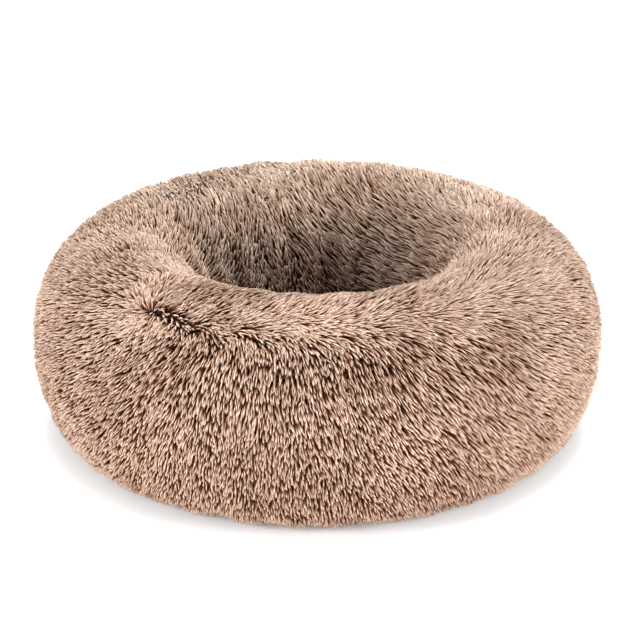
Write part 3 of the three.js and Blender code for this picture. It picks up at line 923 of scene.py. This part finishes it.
def add_grip_dots(flat_radius, top, material):
    """Rows of low rubber dots under the base."""
    pitch, radius, sides = 9 * MM, 1.6 * MM, 8
    places = []
    for row, y in enumerate(np.arange(-flat_radius, flat_radius, pitch * math.sin(math.radians(60)))):
        x = np.arange(-flat_radius, flat_radius, pitch) + (row % 2) * pitch / 2
        places += [(px, y) for px in x[np.hypot(x, y) < flat_radius - 4 * MM]]
    levels = ((1.0, top), (0.96, 0.25 * MM), (0.72, 0.05 * MM))
    turns = TURN * np.arange(sides) / sides
    dot = [(share * c, share * s, z) for share, z in levels for c, s in zip(np.cos(turns), np.sin(turns))]
    dot = np.array(dot + [(0, 0, 0)])
    coords = np.tile(0.5 + 0.45 * dot[:, :2], (len(places), 1))
    points = np.zeros((len(places), len(dot), 3))
    points[..., :2] = np.array(places)[:, None] + radius * dot[:, :2]
    points[..., 2] = dot[:, 2]
    index = np.arange(len(levels) * sides).reshape(-1, sides)
    ahead = np.roll(index, -1, 1)
    tip = np.full(sides, len(dot) - 1)
    quads = np.stack([index[:-1], index[1:], ahead[1:], ahead[:-1]], -1).reshape(-1, 4)
    blocks = (index[:1], quads, np.stack([index[-1], tip, ahead[-1]], -1))
    faces = [repeated(block, len(places), len(dot)) for block in blocks]
    settle(new_piece("base_grip_dots", points.reshape(-1, 3), faces, coords, material), "base_cloth")


def add_base(cloth, dots, thread):
    flat_radius = FLOOR_RADIUS - 19 * MM
    lift, thickness = 0.5 * MM, 1.0 * MM
    corner = (flat_radius + (BASE_SEAM[0] - flat_radius) * 0.6, lift)
    flat = np.stack([np.linspace(1 * MM, flat_radius, 60), np.full(60, lift)], 1)
    rim = bend((flat_radius, lift), corner, BASE_SEAM, 16)
    line = np.concatenate([flat, rim[1:]])
    waves = Noise(60 * MM)

    def ripple(points, angle):
        inside = smooth(np.hypot(points[..., 0], points[..., 1]), BASE_SEAM[0], flat_radius - 20 * MM)
        points[..., 2] += 0.12 * MM * waves(points * [1, 1, 0]) * inside
        return points

    base = swept("base_cloth", strip(line, thickness), 0, TURN, 180, cloth, ripple, planar=True)
    settle(base, "base_cloth", "base_panel")
    add_grip_dots(flat_radius, lift + 0.15 * MM, dots)
    binding = strip(rim[8:], 0.8 * MM, thickness + 0.3 * MM)
    binding = swept("base_edge_binding", binding, 0, TURN, 180, cloth)
    settle(binding, "tape", "base_seam_binding")
    seam_r, seam_z = rim[-2]

    def place(distance, rise):
        return around_axis(seam_r + rise * 0.7, seam_z - 1.5 * MM - rise * 0.7, distance / seam_r)

    stitches("base_seam_stitches", place, TURN * seam_r, 4 * MM, 0.25 * MM, thread)


def add_nest_tape(tape, thread):
    middle = NEST_RADIUS + PILE_THICKNESS / 2
    top, thickness = NEST_FLOOR - PILE_THICKNESS - 0.3 * MM, 0.9 * MM
    line = np.array([(middle + share * TAPE_WIDTH, top) for share in (0.5, 0.25, 0.0, -0.25, -0.5)])
    ring = swept("nest_seam_stay_tape", strip(line, thickness), 0, TURN, 144, tape)
    settle(ring, "tape", "nest_seam_tape")

    def place(distance, rise):
        return around_axis(middle, top - thickness - rise, distance / middle)

    stitches("nest_seam_stitches", place, TURN * middle, 4 * MM, 0.2 * MM, thread)


def bolster_outline():
    """The bolster bag's outer curve [r, z], from the slit in its underside round to the slit again."""
    inner_bend = 14 * MM
    wall = profile.line(profile.s[(profile.s > 0) & (profile.s < profile.seam - 1 * MM)])
    wall = offset(wall, PILE_THICKNESS + LINER_EASE)[::6]
    outer = (wall[:, 0] > CREST_RADIUS) & (wall[:, 1] > 46 * MM)
    wall = wall[outer | ((wall[:, 0] <= CREST_RADIUS) & (wall[:, 1] > BAG_FLOOR + inner_bend))]
    inner = wall[-1, 0]
    start, end = FLOOR_RADIUS - 29 * MM, inner + inner_bend
    slit, slit_half = (inner + start) / 2, 0.4 * MM
    outer_curve = bend((start, BAG_FLOOR), (BASE_SEAM[0] - 10 * MM, BAG_FLOOR), wall[0], 14)
    inner_curve = bend((inner, BAG_FLOOR + inner_bend), (inner, BAG_FLOOR), (end, BAG_FLOOR), 8)
    under_out = np.stack([np.linspace(slit + slit_half, start, 10), np.full(10, BAG_FLOOR)], 1)
    under_in = np.stack([np.linspace(end, slit - slit_half, 10), np.full(10, BAG_FLOOR)], 1)
    return np.concatenate([under_out, outer_curve[1:-1], wall, inner_curve, under_in[1:]])


def add_bolster_filling(bag_cloth, fibre):
    line = bolster_outline()
    creases = Noise(30 * MM)
    lumps, tufts = Noise(45 * MM), Noise(12 * MM)
    centre_r, centre_z = (line[:, 0].min() + line[:, 0].max()) / 2, line[:, 1].max() / 2

    def inwards(points, angle, amount):
        """Moves points towards the ring's core by amount, but none up from the floor."""
        low = smooth(points[..., 2], BAG_FLOOR + 2 * MM, 20 * MM)
        return points + unit(around_axis(centre_r, centre_z, angle) - points) * (amount * low)[..., None]

    def crease(points, angle):
        folds = np.abs(creases(points * [1, 1, 0.25])) ** 0.7
        return inwards(points, angle, 2.2 * MM * (1 - np.clip(folds, 0, 1)))

    def lump(points, angle):
        return inwards(points, angle, 3 * MM + 1.5 * MM * lumps(points) + 0.7 * MM * tufts(points))

    bag = swept("bolster_bag", strip(line, LINER_THICKNESS), 0, TURN, 240, bag_cloth, crease)
    settle(bag, "non_woven", "bolster_liner")
    fill = swept("bolster_fibre", offset(line, LINER_THICKNESS + 0.6 * MM), 0, TURN, 240, fibre, lump)
    settle(fill, "fibre", "bolster_fill")


def add_pad_filling(bag_cloth, fibre):
    """The pad under the nest's floor: a bag that its filling plumps up, and the filling."""
    radius = NEST_RADIUS + PILE_THICKNESS + 1.2 * MM
    under_tape = NEST_FLOOR - PILE_THICKNESS - 2.2 * MM
    inset = 1.5 * MM
    crown_r = np.linspace(0.5 * MM, 0.8 * NEST_RADIUS, 12)
    crown = np.stack([crown_r, pad_height(crown_r) - PILE_THICKNESS - 1.6 * MM], 1)
    side = (radius, (under_tape + BAG_FLOOR) / 2)
    top_bend = bend(crown[-1], (radius, under_tape), side, 12)
    low_bend = bend(side, (radius, BAG_FLOOR), (radius - 14 * MM, BAG_FLOOR), 10)
    line = np.concatenate([[[0.5 * MM, BAG_FLOOR]], low_bend[::-1], top_bend[::-1][1:], crown[::-1][1:]])
    top = line[:, 1].max()
    bag = swept("pad_bag", offset(line, inset), 0, TURN, 96, bag_cloth)
    plump(bag, 5 * MM, 6 * MM, (radius, BAG_FLOOR, top))
    thicken(bag, LINER_THICKNESS)
    settle(bag, "non_woven", "pad_liner")

    lumps, tufts = Noise(45 * MM), Noise(12 * MM)

    def lump(points, angle):
        centre = np.array([0, 0, (BAG_FLOOR + top) / 2])
        share = 0.985 - 0.012 * lumps(points) - 0.004 * tufts(points)
        moved = centre + (points - centre) * share[..., None]
        moved[..., 2] = np.maximum(moved[..., 2], BAG_FLOOR + 1.0 * MM)
        return moved

    fine = np.concatenate([bend(a, (a + b) / 2, b, 4)[:-1] for a, b in zip(line, line[1:])])
    fill = swept("pad_fibre", offset(fine, inset + LINER_THICKNESS + 3 * MM), 0, TURN, 144, fibre, lump)
    settle(fill, "fibre", "pad_fill")


def mesh_points(mesh):
    points = np.zeros(len(mesh.vertices) * 3, np.float32)
    mesh.vertices.foreach_get("co", points)
    return points.reshape(-1, 3).astype(float)


def bake_modifiers(piece):
    """Writes what the piece's modifiers make into its mesh."""
    graph = bpy.context.evaluated_depsgraph_get()
    mesh = bpy.data.meshes.new_from_object(piece.evaluated_get(graph))
    piece.modifiers.clear()
    piece.data = mesh
    mesh.polygons.foreach_set("use_smooth", np.ones(len(mesh.polygons), dtype=bool))


def plump(piece, voxel, cap, room):
    """Swells a closed bag by cloth simulation, with no point moved by more than cap or out of its room."""
    remesh = piece.modifiers.new("remesh", "REMESH")
    remesh.mode = "VOXEL"
    remesh.voxel_size = voxel
    bake_modifiers(piece)
    before = mesh_points(piece.data)
    cloth = piece.modifiers.new("cloth", "CLOTH").settings
    cloth.quality = 5
    cloth.mass = 0.2
    cloth.use_pressure = True
    cloth.uniform_pressure_force = 4
    cloth.effector_weights.gravity = 0
    scene = bpy.context.scene
    for number in range(1, 21):
        scene.frame_set(number)
    bake_modifiers(piece)
    scene.frame_set(1)
    move = mesh_points(piece.data) - before
    size = np.linalg.norm(move, axis=1, keepdims=True)
    after = before + move * np.minimum(1, cap / np.maximum(size, 1e-9))
    radius, low, high = room
    reach = np.hypot(after[:, 0], after[:, 1])
    after[:, :2] *= np.minimum(1, radius / np.maximum(reach, 1e-9))[:, None]
    limit = np.maximum(pad_height(reach) - PILE_THICKNESS - 0.6 * MM, low)
    after[:, 2] = np.clip(after[:, 2], low, limit)
    piece.data.vertices.foreach_set("co", after.astype(np.float32).ravel())
    piece.data.update()


def thicken(piece, thickness):
    """Gives a closed bag a thin wall."""
    wall = piece.modifiers.new("wall", "SOLIDIFY")
    wall.thickness = thickness
    wall.offset = -1
    bake_modifiers(piece)


def add_care_label(label):
    """A blank label sewn into the zip's upper seam, lying inside the rear cover."""
    length, width, thickness = 30 * MM, 40 * MM, 0.35 * MM
    low = ZIP_EDGE + 1 * MM
    line = offset(profile.line(np.linspace(low, low + length, 24)), PILE_THICKNESS + 0.3 * MM)
    line[:, 0] -= 0.5 * MM * np.sin(np.linspace(0, 7, 24))
    middle = math.radians(135)
    reach = width / 2 / line[0, 0]
    cloth = swept("blank_care_label", strip(line, thickness), middle - reach, middle + reach, 24, label)
    settle(cloth, "label_cloth", "care_label")


# The zip

TAPE_INSET = 3 * MM
CHAIN_INSET = 32 * MM
TAPE_HALF = 0.3 * MM
COIL_MIDDLE = 1.6 * MM


def add_zip(tape, nylon, thread):
    up = np.array([0.7, 1.1, 1.6, 4, 6, 8, 10, 11.5, 13]) * MM
    thick = np.array([0.5, 0.9, 0.6, 0.6, 0.6, 0.6, 0.6, 0.95, 0.7]) * TAPE_HALF
    up, out = np.concatenate([up, up[::-1]]), np.concatenate([thick, -thick[::-1]])
    tape_length, chain_length = ZIP_LENGTH - 2 * TAPE_INSET, ZIP_LENGTH - 2 * CHAIN_INSET
    for side, sign in (("lower", -1), ("upper", 1)):
        section = on_band(0.0, sign * up, out)[:, ::2]
        ends = TAPE_INSET / BAND_RADIUS, (ZIP_LENGTH - TAPE_INSET) / BAND_RADIUS
        cloth = swept(f"{side}_tape", section, *ends, 300, tape)
        settle(cloth, "tape", f"{side}_zip_tape")

        def seam(distance, rise, sign=sign):
            return on_band((distance + TAPE_INSET) / BAND_RADIUS, sign * 10.5 * MM, TAPE_HALF + rise)

        stitches(f"{side}_tape_stitches", seam, tape_length, 3 * MM, 0.16 * MM, thread)
        add_coil(side, sign, chain_length, nylon, thread)


def add_coil(side, sign, length, nylon, thread):
    """One half of the chain: a coil of wire, wound round a cord."""
    pitch, wire, steps = 1.3 * MM, 0.34 * MM, 12
    middle, reach, rise = 1.42 * MM, 1.55 * MM, 1.0 * MM
    turns = int(length / pitch)
    phase = np.arange(turns * steps + 1) / steps
    cos, sin = np.cos(TURN * phase), np.sin(TURN * phase)
    up = sign * (middle - (reach - wire) * np.sign(cos) * np.abs(cos) ** 0.7)
    angle = (CHAIN_INSET + (phase + 0.25 * sign) * pitch) / BAND_RADIUS
    path = on_band(angle, up, COIL_MIDDLE + (rise - wire) * sin)[None]
    settle(tubes(f"{side}_coil_turns", path, wire, 6, nylon), "nylon", f"{side}_zip_coil")
    angle = (np.linspace(0, length, 400) + CHAIN_INSET) / BAND_RADIUS
    path = on_band(angle, sign * 1.75 * MM, COIL_MIDDLE)[None]
    settle(tubes(f"{side}_coil_core", path, 0.5 * MM, 6, thread), "tape")


# The slider and its tab, in the slider's own frame: x along the chain, y up the band's slope, z outwards

COIL_TOP = 2.6 * MM
PLATE = 1.2 * MM
SLIDER_HALF = 4.65 * MM
PLATE_TOP = COIL_TOP + 0.45 * MM + PLATE
PIN_HEIGHT = PLATE_TOP + 1.05 * MM
BRIDGE_TOP = PIN_HEIGHT + 2.15 * MM
UPRIGHT = Matrix.Rotation(math.pi / 2, 4, "X")


def pressed_plate(outlines, low, high, edge, matrix=Matrix()):
    """A flat plate with rounded edges, from closed outlines of (x, y), of which inner ones are holes."""
    curve = bpy.data.curves.new("plate", "CURVE")
    curve.dimensions = "2D"
    curve.fill_mode = "BOTH"
    for outline in outlines:
        spline = curve.splines.new("POLY")
        spline.points.add(len(outline) - 1)
        for point, (x, y) in zip(spline.points, outline):
            point.co = (x, y, 0, 1)
        spline.use_cyclic_u = True
    curve.extrude = (high - low) / 2 - edge
    curve.bevel_depth = edge
    curve.bevel_resolution = 2
    curve.offset = -edge
    holder = bpy.data.objects.new("plate", curve)
    mesh = bpy.data.meshes.new_from_object(holder)
    mesh.transform(matrix @ Matrix.Translation((0, 0, (low + high) / 2)))
    bpy.data.objects.remove(holder)
    bpy.data.curves.remove(curve)
    return mesh


def rounded(corners, radius, count=5):
    """A closed outline whose corners are rounded."""
    points = []
    corners = [np.array(corner, dtype=float) for corner in corners]
    for before, corner, after in zip(corners[-1:] + corners[:-1], corners, corners[1:] + corners[:1]):
        arms = [other - corner for other in (before, after)]
        starts = [corner + arm * min(radius / np.linalg.norm(arm), 0.5) for arm in arms]
        points += bend(starts[0], corner, starts[1], count).tolist()
    return points


def mirrored(points):
    return [(x, -y) for x, y in points]


def arc(x, y, radius, start, end, count):
    turns = np.linspace(start, end, count)
    return [(x + radius * math.cos(turn), y + radius * math.sin(turn)) for turn in turns]


def add_metal(name, plates, metal, node, body="bed", turn=0.0):
    """Joins plates into one piece on the zip, turned about the bed's axis from the slider's place."""
    whole = bmesh.new()
    for plate in plates:
        whole.from_mesh(plate)
        bpy.data.meshes.remove(plate)
    bmesh.ops.remove_doubles(whole, verts=whole.verts, dist=1e-6)
    mesh = bpy.data.meshes.new(name)
    whole.to_mesh(mesh)
    whole.free()
    cosine, sine = math.cos(SLIDER_ANGLE), math.sin(SLIDER_ANGLE)
    along = Vector((-sine, cosine, 0))
    axes = Matrix((along, BAND_SLOPE, along.cross(BAND_SLOPE))).transposed().to_4x4()
    place = Matrix.Translation((BAND_RADIUS * cosine, BAND_RADIUS * sine, BAND_HEIGHT))
    mesh.transform(Matrix.Rotation(turn, 4, "Z") @ place @ axes)
    settle(new_object(name, mesh, metal), "slider_metal", node, body=body)


def add_slider(metal):
    """Two plates with side walls, joined by a wedge at the mouth, under the bridge that holds the tab."""
    end, mouth = 7.5 * MM, -7.5 * MM
    inner_top, wall_low = -0.75 * MM, 0.75 * MM
    waist, shoulder = SLIDER_HALF - 0.7 * MM, mouth + 2 * MM
    half = [(mouth, 1 * MM), (mouth, SLIDER_HALF - 1 * MM)]
    half += [(shoulder, SLIDER_HALF), (0, SLIDER_HALF), (end, waist)]
    outline = rounded([(mouth + 1.2 * MM, 0)] + mirrored(half) + half[::-1], 1.2 * MM)
    wedge = [(mouth + 0.9 * MM, -0.45 * MM), (mouth + 0.9 * MM, 0.45 * MM), (mouth + 4.1 * MM, 0)]
    wall_end, inside = end - 1.4 * MM, SLIDER_HALF - 0.8 * MM
    wall = [
        (shoulder, SLIDER_HALF), (0, SLIDER_HALF), (wall_end, waist + 0.1 * MM),
        (wall_end, waist - 0.5 * MM), (0, inside), (shoulder, inside),
    ]
    low = PLATE_TOP - PLATE / 2

    def arch(reach, top):
        points = []
        for turn in np.linspace(0, math.pi, 17):
            x = math.copysign(abs(math.cos(turn)) ** 0.45, math.cos(turn))
            points.append((reach * x, low + (top - low) * math.sin(turn) ** 0.45))
        return points

    foot, bar = 4.5 * MM, 1.1 * MM
    bridge = arch(foot, BRIDGE_TOP) + arch(foot - bar, BRIDGE_TOP - bar)[::-1]
    plates = [
        pressed_plate([outline], inner_top - PLATE, inner_top, 0.3 * MM),
        pressed_plate([outline], PLATE_TOP - PLATE, PLATE_TOP, 0.3 * MM),
        pressed_plate([rounded(wedge, 0.3 * MM)], inner_top - PLATE / 2, low, 0.05 * MM),
        pressed_plate([rounded(mirrored(wall), 0.3 * MM)], wall_low, low, 0.12 * MM),
        pressed_plate([rounded(wall, 0.3 * MM)], wall_low, low, 0.12 * MM),
        pressed_plate([bridge], -1.2 * MM, 1.2 * MM, 0.25 * MM, UPRIGHT),
    ]
    add_metal("slider_body", plates, metal, "zip_slider", body="slider")


def add_tab(metal):
    """A flat tab with a window for the bridge, a slot and a raised rim, on a round pin."""
    pin, half_thickness = 0.7 * MM, 0.55 * MM
    arm_from, arm_to, eye = 1.55 * MM, 3.05 * MM, 0.5 * MM
    window, length, tip = 5.35 * MM, 26 * MM, 4 * MM
    right = math.pi / 2
    tip_arc = arc(tip - length, 0, tip, right, 3 * right, 13)
    outline = [(eye, -arm_to), (eye, arm_to), (-window, arm_to)] + tip_arc + [(-window, -arm_to)]
    hole = [(-0.4 * MM, -arm_from), (-0.4 * MM, arm_from), (-window, arm_from), (-window, -arm_from)]
    slot = arc(-12 * MM, 0, 1.2 * MM, right, -right, 9) + arc(-20 * MM, 0, 1.8 * MM, 3 * right, right, 9)
    rim_start = (-9 * MM, 3.4 * MM)
    rim = [rim_start] + tip_arc + mirrored([rim_start])
    rim = [(x * 0.86 - 2.6 * MM, y * 0.72) for x, y in rim]
    inner_rim = [(x * 0.93 - 1.3 * MM, y * 0.82) for x, y in rim]
    low, high = PIN_HEIGHT - half_thickness, PIN_HEIGHT + half_thickness
    pin_place = Matrix.Translation((0, 0, PIN_HEIGHT)) @ UPRIGHT
    plates = [
        pressed_plate([outline, rounded(hole, 0.8 * MM), slot], low, high, 0.2 * MM),
        pressed_plate([rim, inner_rim], low - 0.14 * MM, high + 0.14 * MM, 0.1 * MM),
        pressed_plate([arc(0, 0, pin, 0, TURN, 17)[:-1]], -arm_to, arm_to, 0.1 * MM, pin_place),
    ]
    add_metal("slider_tab", plates, metal, "zip_pull_tab", body="pull_tab")


def box_outline(x_from, x_to, y_from, y_to):
    return [(x_from, y_from), (x_to, y_from), (x_to, y_to), (x_from, y_to)]


def add_stops(metal):
    """A clamp on each coil where the zip closes, and one across both where it opens. Each has two ridges."""
    half, ridge_half = 1.5 * MM, 0.2 * MM
    top = CHAIN_INSET - 1.2 * MM - half
    bottom = ZIP_LENGTH - top
    for name, node, along, low, high in (
        ("lower_top_clamp", "lower_zip_top_stop", top, -3.3 * MM, -0.7 * MM),
        ("upper_top_clamp", "upper_zip_top_stop", top, 0.7 * MM, 3.3 * MM),
        ("bottom_clamp", "zip_bottom_stop", bottom, -3.3 * MM, 3.3 * MM),
    ):
        base = rounded(box_outline(-half, half, low, high), 0.5 * MM)
        plates = [pressed_plate([base], 0.6 * MM, COIL_TOP, 0.25 * MM)]
        for share in (0.3, 0.7):
            x = half * (2 * share - 1) * 1.2
            ridge = box_outline(x - ridge_half, x + ridge_half, low + 0.3 * MM, high - 0.3 * MM)
            plates.append(pressed_plate([ridge], COIL_TOP - 0.3 * MM, COIL_TOP + 0.1 * MM, 0.08 * MM))
        add_metal(name, plates, metal, node, turn=along / BAND_RADIUS - SLIDER_ANGLE)


def add_inner_pieces():
    oxford = cloth_material("oxford_base_cloth", (0.30, 0.215, 0.165), (0.16, 0.11, 0.08), (1.4, 1.4), 0.15)
    dots = moulded_material("grip_dots", (0.075, 0.05, 0.038), (0.05, 0.034, 0.026), 0.3)
    tape = cloth_material("woven_tape", (0.34, 0.22, 0.165), (0.17, 0.10, 0.072), (0.9, 1.3), 0.12)
    thread = moulded_material("thread", (0.36, 0.24, 0.18), (0.24, 0.15, 0.11), 0.6)
    non_woven = cloth_material(
        "non_woven", (0.86, 0.85, 0.83), (0.66, 0.65, 0.62), (2.4, 2.4), 0.1, turned=math.radians(45)
    )
    fibre = fibre_material()
    label = cloth_material(
        "label_satin", (0.88, 0.86, 0.82), (0.74, 0.72, 0.68), (0.5, 0.25), 0.03, roughness=0.45
    )
    nylon = moulded_material("nylon_coil", (0.22, 0.135, 0.095), (0.17, 0.10, 0.07), 0.35)
    metal = moulded_material("slider_metal", (0.56, 0.54, 0.50), (0.42, 0.40, 0.37), 0.32, metallic=1.0)
    add_base(oxford, dots, thread)
    add_nest_tape(tape, thread)
    add_bolster_filling(non_woven, fibre)
    add_pad_filling(non_woven, fibre)
    add_care_label(label)
    add_zip(tape, nylon, thread)
    add_slider(metal)
    add_tab(metal)
    add_stops(metal)


make_camera()
make_floor()
make_lights()
add_plush()
add_inner_pieces()

bpy.context.scene.view_settings.view_transform = "Standard"
